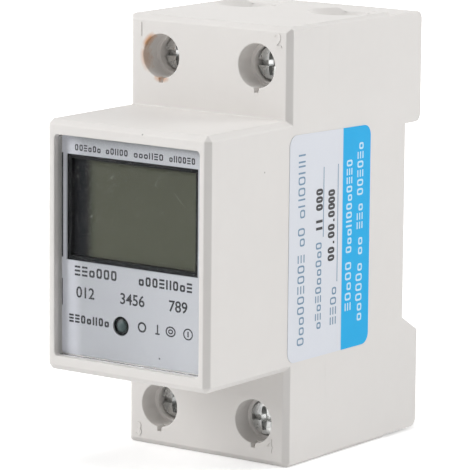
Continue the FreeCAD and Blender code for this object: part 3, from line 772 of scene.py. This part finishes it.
class METER_OT_case(bpy.types.Operator):
    """Make the two moulded case halves with eased edges, and the numbers in relief beside the terminals"""

    bl_idname = "meter.case"
    bl_label = "Case halves"
    bl_options = {"REGISTER", "UNDO"}

    def execute(self, context):
        settings = context.scene.meter_case
        given = {"Colour": (*settings.housing, 1), "Mottle": settings.mottle, "Roughness": 0.52}
        white, shader, place, tint = skinned(
            "Housing white", "Moulded skin", given, MOULD_DEPTH, Specular_IOR_Level=0.3
        )
        tube_x, tube_z = middle_of("terminal_screw_1")
        tube_radius, band = 4.1 * MM, 0.8 * MM
        apart = distance(stretched(place, 1, 0, 1), (tube_x, 0, tube_z))
        off_rim = maths("ABSOLUTE", minus(apart, tube_radius))
        rim = minus(1.0, maths("DIVIDE", off_rim, band), clamp=True)
        stains = ((-3.1, 2.9, 2.3, 1.0), (-4.1, -0.6, 3.0, 0.55), (0.1, -4.6, 1.9, 1.0))
        for across, up, radius, strength in stains:
            centre = (tube_x + across * MM, TERMINAL_FACE, tube_z + up * MM)
            mask = times(spot(place, centre, radius * MM), rim)
            tint = blend(times(mask, strength), tint, (*settings.stain, 1))
        for centre in ((3.6 * MM, -61 * MM, 22.1 * MM), (18 * MM, -44.5 * MM, 14.8 * MM)):
            mask = times(spot(place, centre, SPECK), 0.6)
            tint = blend(mask, tint, (0.12, 0.11, 0.1, 1))
        feed(shader, "Base Color", tint)
        for part in ("front_cover", "base_shell"):
            eased_copy(part, settings.edge_round, white, seam=SEAM)
        tall, relief = settings.number_height, settings.number_relief
        for number, x, z in (("1", -15.2, 36.7), ("2", 15.2, 37.0), ("3", -15.4, -37.4), ("4", 14.2, -36.4)):
            flat_numbers(number, (x * MM, TERMINAL_FACE, z * MM), tall, relief, white)
        return {"FINISHED"}


class METER_OT_terminals(bpy.types.Operator):
    """Make the plated clamp screws and cages, and finish the conductor bars, shunt and leads"""

    bl_idname = "meter.terminals"
    bl_label = "Terminals"
    bl_options = {"REGISTER", "UNDO"}

    def execute(self, context):
        settings = context.scene.meter_terminals
        dull = settings.tarnish
        zinc = plated("Zinc plate", settings.zinc, dull, 0.55, 0.2)
        cage_zinc = plated("Cage zinc", settings.zinc, dull, 0.5, 0.32)
        head_height = 2.6 * MM
        for number in range(1, 5):
            solid = f"terminal_screw_{number}"
            low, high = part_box(solid)
            front = low.y - settings.head_rise
            points, faces = screw_surface(middle_of(solid), front, low.y + head_height, high.y)
            screw = mesh_piece(f"clamp_screw_{number}", points, faces, zinc, f"screw_{number}")
            smooth(screw, 50)
            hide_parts(solid)
            cage, body = f"clamp_cage_{number}", f"clamp_{number}"
            eased_copy(cage, settings.edge_round, cage_zinc, body)
        bars = ("line_bar_upper", "line_bar_lower", "neutral_bar")
        dress(plated("Bar copper", settings.copper, dull, 0.3, 0.35), *bars)
        dress(plated("Shunt alloy", settings.alloy, dull, 0.4, 0.4), "current_shunt")
        dress(moulded("Lead sleeve", settings.lead_sleeve, 0.06, 3000.0, 0.5), "sense_leads", "neutral_lead")
        return {"FINISHED"}


class METER_OT_display(bpy.types.Operator):
    """Finish the window, printed plate, display cell, its holder and the pulse lamp"""

    bl_idname = "meter.display"
    bl_label = "Display"
    bl_options = {"REGISTER", "UNDO"}

    def finish_plate(self, settings):
        """The printed plate: silver grey that darkens from its left edge, with painted light along that edge
        against the recess wall's shadow and painted shade left of its middle, and one dark speck.
        """
        plate, shader, place = material("Plate silver", Roughness=0.55, Specular_IOR_Level=0.15)
        across = split(place)[0]
        # Painted light lightens the plate's left edge against the recess wall's shadow, and painted shade
        # darkens the plate left of its middle.
        painted_light_left_ramp = ramp(across, -15.5 * MM, -11 * MM)
        painted_shade_fade_right = ramp(across, -6 * MM, 12 * MM)
        tone = blend(painted_light_left_ramp, (*settings.plate_left_painted_light, 1), (*settings.plate_middle_painted_shade, 1))
        tone = blend(painted_shade_fade_right, tone, (*settings.plate_right, 1))
        fibre = placed_group("Paper fibre", place, Colour=tone, Depth=0.05)
        speck = spot(place, (6.2 * MM, LABEL_FACE, -17.6 * MM), SPECK)
        feed(shader, "Base Color", blend(speck, fibre["Colour"], (0.05, 0.05, 0.06, 1)))
        bump(shader, fibre["Height"], 0.002 * MM)
        dress(plate, "label_plate")

    def print_plate(self, settings):
        """The marks, signs and numbers on the plate, and two thin dark bars along its left edge that are a
        painted reflection of the window's left edge, in millimetres right of and above the meter's middle.
        """
        ink = moulded("Plate ink", settings.ink, 0.05, 2500.0, 0.5)
        for text, x in (("012", -10.4), ("3456", 0.1), ("789", 10.2)):
            place = (x * MM, LABEL_FACE, -8.0 * MM)
            flat_numbers(text, place, 1.95 * MM, PRINT_LIFT, ink, 0.04 * MM)
        top_row = [(*ends, 17.5, 18.65) for ends in ((-12.9, -6.9), (-6.0, -0.9), (0.2, 6.9), (8.0, 13.8))]
        rows = [(-13.0, -3.2, -4.95, -3.15), (1.35, 13.4, -5.1, -3.4), (-14.2, -4.9, -13.5, -12.0)]
        rings = ring_plates(
            [(2.3, -12.5), (8.6, -12.5), (8.6, -12.5), (12.4, -12.5)],
            [(1.9, 1.9), (2.2, 1.9), (1.1, 0.9), (2.1, 2.1)],
            [0.34, 0.26, 0.24, 0.24],
            2.0,
            28,
        )
        # The last two bars, thin and upright along the plate's left edge, are no print: they are a painted
        # reflection of dark parts in the window's polished left edge.
        bars = bar_plates(
            [(5.58, -13.1), (5.25, -13.4), (12.26, -13.0), (-15.75, -1.9), (-15.7, -10.6)],
            [(5.86, -11.6), (6.2, -13.1), (12.54, -12.0), (-15.45, 16.9), (-15.55, -5.8)],
        )
        points, faces = joined(word_marks(top_row, 0.25, 3), word_marks(rows, 0.36, 5), rings, bars)
        mesh_piece("plate_print", on_front(points), faces, ink)

    def finish_cell(self, settings):
        """The switched off display: painted shade along its left edge, then grey green, with dust and fine
        scratches.
        """
        cell, shader, place = material("Display cell", Roughness=0.45, Specular_IOR_Level=0.06)
        axes = split(place)
        waver = times(minus(noise(place, 300.0), 0.5), 0.4 * MM)
        # Painted shade along the display's left edge, fading out along a wavering boundary; light is the
        # share of the cell's own grey green.
        light = ramp(plus(axes[0], waver), -11.9 * MM, -8.7 * MM, kind="SMOOTHSTEP")
        level = grey(ramp(axes[2], -2 * MM, 17 * MM, 1.0, 0.97))
        tone = blend(1.0, (*settings.cell, 1), level, "MULTIPLY")
        tone = blend(light, (*settings.cell_painted_shade, 1), tone)
        hairs = placed_group("Scratches", place, Width=0.0016)["Mask"]
        tone = blend(times(hairs, 0.3), tone, (0.42, 0.44, 0.4, 1))
        dust = placed_group("Specks", place, Cells=900.0, Size=0.24, Share=0.16)["Mask"]
        tone = blend(times(dust, 0.22), tone, (0.4, 0.42, 0.36, 1))
        feed(shader, "Base Color", tone)
        dress(cell, "display_glass")
        holder = moulded("Holder black", settings.holder, 0.05, 3500.0, 0.5, Specular_IOR_Level=0.15)
        dress(holder, "display_holder", "lamp_sleeve")

    def make_lamp(self, settings):
        """The pulse lamp: a domed lens on its foot, with painted shade darkening it towards its rim."""
        low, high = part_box("pulse_lamp")
        centre, dome_radius, radius, foot = middle_of("pulse_lamp"), 2.6 * MM, 1.2 * MM, 1.42 * MM
        front, step = low.y + 0.02 * MM, high.y - MM
        lamp, shader, place = material("Lamp resin", Roughness=0.4, Specular_IOR_Level=0.25)
        off_axis = distance(place, (centre[0], low.y, centre[1]))
        # Painted shade: the lens fades to near black towards its rim. Here glow is no light, only the share
        # of the lens's own smoked green.
        glow = ramp(off_axis, 0.7 * MM, 1.15 * MM, 1.0, 0.08)
        feed(shader, "Base Color", blend(glow, (0.01, 0.014, 0.014, 1), (*settings.lamp, 1)))
        reach = np.linspace(0, 1, 9)[1:] * radius
        sag = front + reach**2 / (2 * dome_radius)
        profile = np.array([*zip(reach, sag), (radius, step), (foot, step), (foot, high.y)])
        points, faces = turned(profile[:, :1], profile[:, 1:], (front, high.y), centre, 40)
        lens = mesh_piece("pulse_lamp_lens", points, faces, lamp)
        smooth(lens, 40)
        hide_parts("pulse_lamp")

    def finish_window(self, settings):
        """The window: clear and slightly hazy, and shadow rays pass straight through."""
        window, shader, place = material(
            "Clear window", Base_Color=(0.97, 0.98, 0.98, 1), IOR=1.1, Transmission_Weight=1.0
        )
        haze = times(noise(place, 90.0, 3.0), settings.window_rough)
        feed(shader, "Roughness", haze)
        tree = window.node_tree
        shadow = node(tree, "ShaderNodeLightPath").outputs["Is Shadow Ray"]
        clear = node(tree, "ShaderNodeBsdfTransparent").outputs[0]
        mixed = node(tree, "ShaderNodeMixShader", {0: shadow, 1: shader.outputs[0], 2: clear})
        end = next(item for item in tree.nodes if item.type == "OUTPUT_MATERIAL")
        tree.links.new(mixed.outputs[0], end.inputs["Surface"])
        dress(window, "display_window")

    def execute(self, context):
        settings = context.scene.meter_display
        self.finish_plate(settings)
        self.print_plate(settings)
        self.finish_cell(settings)
        self.make_lamp(settings)
        self.finish_window(settings)
        return {"FINISHED"}


class METER_OT_side_label(bpy.types.Operator):
    """Make the paper label over the case seam, with its blue band, rules and plain marks"""

    bl_idname = "meter.side_label"
    bl_label = "Side label"
    bl_options = {"REGISTER", "UNDO"}

    def make_paper(self, settings):
        """The paper, with four slightly skewed corners (depth, height) as the photo shows it."""
        paper, shader, place = material("Label paper", Roughness=0.42, Specular_IOR_Level=0.2)
        band = ramp(split(place)[1], -20.5 * MM, -20.35 * MM)
        tone = blend(band, (*settings.paper, 1), (*settings.band, 1))
        fibre = placed_group("Paper fibre", place, Colour=tone, Depth=0.04)
        feed(shader, "Base Color", fibre["Colour"])
        bump(shader, fibre["Height"], 0.003 * MM)
        outline = rounded_outline([(-37.1, -20.8), (-11.6, -20.9), (-11.6, 19.7), (-37.0, 20.3)], 2.0) * MM
        low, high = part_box("seal_label")
        count = len(outline)
        points = np.concatenate([np.column_stack([np.full(count, x), outline]) for x in (low.x, high.x)])
        loops = np.arange(2 * count).reshape(2, count)
        faces = between(loops).tolist() + loops.tolist()
        label = mesh_piece("label_paper", points, faces, paper)
        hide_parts("seal_label")

    def execute(self, context):
        settings = context.scene.meter_label
        self.make_paper(settings)

        grey_ink = moulded("Grey ink", settings.grey_ink, 0.08, 2500.0, 0.5)
        spans = [(-18.2, -1.3, 32.2, 34.3), (-0.2, 3.6, 32.2, 34.3), (4.9, 16.9, 32.2, 34.3)]
        spans += [(-16.0, 0.2, 26.9, 28.7), (-15.9, -8.6, 22.1, 24.0)]
        rules = bar_plates([(0.9, 26.3), (-7.9, 21.8)], [(13.6, 26.5), (13.6, 22.0)])
        points, faces = joined(word_marks(spans, 0.3, 11), rules)
        mesh_piece("side_print_grey", on_side(points), faces, grey_ink)

        black_ink = moulded("Black ink", settings.black_ink, 0.05, 2500.0, 0.5)
        upper = [(along, 27.7) for along in (6.4, 7.8, 9.2)]
        lower = [(along, 23.9) for along in (-3.3, -1.9, 0.9, 2.3, 4.7, 6.1, 7.3, 8.6)]
        zeros = ring_plates(upper + lower, [(1.2, 2.1)], [0.48], 2.6)
        dots = bar_plates(
            [(-0.75, 22.9), (3.3, 22.9), (2.3, 26.7), (3.6, 26.7)],
            [(-0.3, 23.35), (3.75, 23.35), (2.8, 28.7), (4.1, 28.7)],
        )
        points, faces = joined(zeros, dots)
        mesh_piece("side_print_black", on_side(points), faces, black_ink)

        white_ink = moulded("White ink", settings.white_ink, 0.04, 2500.0, 0.5)
        spans = [(-14.1, -4.7, 17.4, 19.3), (-3.4, 14.1, 17.4, 19.2), (-16.5, -5.4, 13.9, 15.9)]
        spans += [(-4.2, -0.6, 13.9, 15.7), (0.6, 5.6, 13.9, 15.8), (6.8, 16.9, 13.9, 15.8)]
        points, faces = word_marks(spans, 0.34, 17)
        mesh_piece("side_print_white", on_side(points), faces, white_ink)
        return {"FINISHED"}


class METER_OT_inner_parts(bpy.types.Operator):
    """Finish the boards and the parts on them, and make the rail latch and its spring"""

    bl_idname = "meter.inner_parts"
    bl_label = "Boards and latch"
    bl_options = {"REGISTER", "UNDO"}

    def execute(self, context):
        settings, metal = context.scene.meter_inner, context.scene.meter_terminals
        board, shader, place = material("Board green", Roughness=0.35)
        light = [min(1, part * 2.2) for part in settings.board]
        tracks = placed_group("Board tracks", place, Resist=(*settings.board, 1), Track=(*light, 1))
        feed(shader, "Base Color", tracks["Colour"])
        bump(shader, tracks["Height"], 0.03 * MM)
        dress(board, "display_board", "power_board")
        for name, tint, mottle, grain, roughness, *parts in (
            ("Film yellow", settings.film, 0.08, 1500.0, 0.35, "film_capacitor"),
            ("Can sleeve", settings.can, 0.06, 1500.0, 0.3, "smoothing_capacitor"),
            ("Varistor blue", settings.varistor, 0.1, 900.0, 0.3, "surge_varistor"),
            ("Resistor coat", settings.resistor, 0.1, 900.0, 0.4, "fuse_resistor"),
            ("Chip black", settings.chip, 0.08, 5000.0, 0.55, "meter_chip", "controller_chip"),
            ("Header black", settings.chip, 0.06, 3000.0, 0.45, "board_header"),
        ):
            dress(moulded(name, tint, mottle, grain, roughness), *parts)
        dress(plated("Crystal can", settings.crystal, settings.spring, 0.2, 0.25), "clock_crystal")
        dress(plated("Board screw zinc", metal.zinc, metal.tarnish, 0.4, 0.3), "board_screws")

        steel = plated("Spring steel", settings.spring, metal.tarnish, 0.3, 0.25)
        low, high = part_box("latch_spring")
        wire, turns, travel, tall = 0.3 * MM, 6.4, 4.5 * MM, high.z - low.z
        middle = (low + high) / 2
        points, faces = coil_surface(low.z, high.z, middle, high.x - wire, wire, turns)
        coil = mesh_piece("latch_coil", points, faces, steel)
        coil.data.shade_smooth()
        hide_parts("latch_spring")
        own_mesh(coil)
        latch = moulded("Latch grey", settings.latch, 0.04, 4000.0, 0.45)
        eased_copy("rail_latch", 0.2 * MM, latch, "latch")
        return {"FINISHED"}


class METER_OT_stage(bpy.types.Operator):
    """Set the floor, the soft boxes, the even light and the camera"""

    bl_idname = "meter.stage"
    bl_label = "Stage"
    bl_options = {"REGISTER", "UNDO"}

    def seen(self, tree):
        """One for rays that show the background, plain, in a gloss or through glass, none for lighting."""
        path = node(tree, "ShaderNodeLightPath").outputs
        indirect = maths("MAXIMUM", path["Is Glossy Ray"], path["Is Transmission Ray"])
        shown = maths("MAXIMUM", path["Is Camera Ray"], indirect)
        return times(shown, maths("LESS_THAN", path["Diffuse Depth"], 0.5))

    def lay_floor(self, scene, settings):
        """The floor: a pale grid under the meter that the camera sees fade to white away from it."""
        floor, shader, place = material("Floor", Roughness=0.9, Specular_IOR_Level=0.1)
        paler = [min(1, part * 1.02) for part in settings.floor]
        tone = blend(noise(place, 8.0), (*settings.floor, 1), (*paler, 1))
        feed(shader, "Base Color", tone)
        shader.inputs["Emission Color"].default_value = (1, 1, 1, 1)
        apart = distance(place, (0, 0, 0))
        lift = ramp(apart, 0.15, 0.6, settings.floor_lift, 1.0)
        feed(shader, "Emission Strength", times(self.seen(floor.node_tree), lift))
        reach, cells = 4, 8
        side = np.linspace(-reach, reach, cells + 1)
        x, y = np.meshgrid(side, side, indexing="xy")
        points = np.stack([x.ravel(), y.ravel(), np.full(x.size, CAD_BOX[0][2])], axis=1)
        corner = np.arange(x.size).reshape(x.shape)
        faces = np.stack([corner[:-1, :-1], corner[:-1, 1:], corner[1:, 1:], corner[1:, :-1]], axis=2)
        mesh = bpy.data.meshes.new("floor")
        mesh.from_pydata(points.tolist(), [], faces.reshape(-1, 4).tolist())
        mesh.materials.append(floor)
        ground = bpy.data.objects.new("floor", mesh)
        scene.collection.objects.link(ground)

    def light_up(self, scene, settings):
        """The even light from all round, which the camera sees as white, and three square soft boxes."""
        world = bpy.data.worlds.new("Even light")
        world.use_nodes = True
        tree = world.node_tree
        tree.nodes.clear()
        extra = times(self.seen(tree), 1 - settings.ambient)
        level = plus(settings.ambient, extra)
        glow = node(tree, "ShaderNodeBackground", {"Color": (1, 1, 1, 1), "Strength": level})
        node(tree, "ShaderNodeOutputWorld", {"Surface": glow.outputs[0]})
        scene.world = world
        away, size = 1.3, 0.7
        for name, azimuth, elevation in (("left_box", -50, 22), ("right_box", 132, 22), ("top_box", 20, 82)):
            towards = direction(azimuth, elevation)
            lamp = bpy.data.lights.new(name, "AREA")
            lamp.energy = getattr(settings, name)
            lamp.size = size
            made = bpy.data.objects.new(name, lamp)
            made.location = towards * away
            made.rotation_euler = towards.to_track_quat("Z", "Y").to_euler()
            scene.collection.objects.link(made)

    def aim_camera(self, scene, settings):
        """The camera as fitted to the photo's corners, turned about its own axis by a small roll."""
        back, roll = direction(36.06, 10.06), math.radians(0.49)
        right = (-back).cross(Vector((0, 0, 1))).normalized()
        up = right.cross(-back)
        rolled_right = math.cos(roll) * right + math.sin(roll) * up
        rolled_up = -math.sin(roll) * right + math.cos(roll) * up
        camera = bpy.data.objects.new("camera", bpy.data.cameras.new("camera"))
        camera.data.lens = settings.lens
        camera.data.sensor_width = 36
        camera.data.clip_start = 0.05
        axes = Matrix((rolled_right, rolled_up, back)).transposed().to_4x4()
        camera.matrix_world = Matrix.Translation((0.39019, -0.56434, 0.11708)) @ axes
        scene.collection.objects.link(camera)
        scene.camera = camera

    def execute(self, context):
        scene = context.scene
        scene.view_settings.view_transform = "Standard"
        scene.cycles.sampling_pattern = "TABULATED_SOBOL"
        self.lay_floor(scene, scene.meter_stage)
        self.light_up(scene, scene.meter_stage)
        self.aim_camera(scene, scene.meter_stage)
        return {"FINISHED"}


GROUPS = (
    build_moulding,
    build_spot,
    build_specks,
    build_scratches,
    build_plating,
    build_fibre,
    build_tracks,
)
OPERATORS = (
    METER_OT_case,
    METER_OT_terminals,
    METER_OT_display,
    METER_OT_side_label,
    METER_OT_inner_parts,
    METER_OT_stage,
)


class METER_PT_pieces(bpy.types.Panel):
    """The pieces of the meter, and their settings"""

    bl_idname = "METER_PT_pieces"
    bl_label = "Rail energy meter"
    bl_space_type = "VIEW_3D"
    bl_region_type = "UI"
    bl_category = "Meter"

    def draw(self, context):
        for operator in OPERATORS:
            self.layout.operator(operator.bl_idname)
        for name, settings in SETTINGS.items():
            box = self.layout.box()
            for key in settings.__annotations__:
                box.prop(getattr(context.scene, name), key)


def register():
    for settings in SETTINGS.values():
        bpy.utils.register_class(settings)
    for name, settings in SETTINGS.items():
        setattr(bpy.types.Scene, name, PointerProperty(type=settings))
    for operator in OPERATORS:
        bpy.utils.register_class(operator)
    bpy.utils.register_class(METER_PT_pieces)


def unregister():
    bpy.utils.unregister_class(METER_PT_pieces)
    for operator in reversed(OPERATORS):
        bpy.utils.unregister_class(operator)
    for name, settings in reversed(list(SETTINGS.items())):
        delattr(bpy.types.Scene, name)
        bpy.utils.unregister_class(settings)


def main():
    register()
    for build in GROUPS:
        build()
    bpy.ops.meter.case()
    bpy.ops.meter.terminals()
    bpy.ops.meter.display()
    bpy.ops.meter.side_label()
    bpy.ops.meter.inner_parts()
    bpy.ops.meter.stage()


if __name__ == "__main__":
    main()
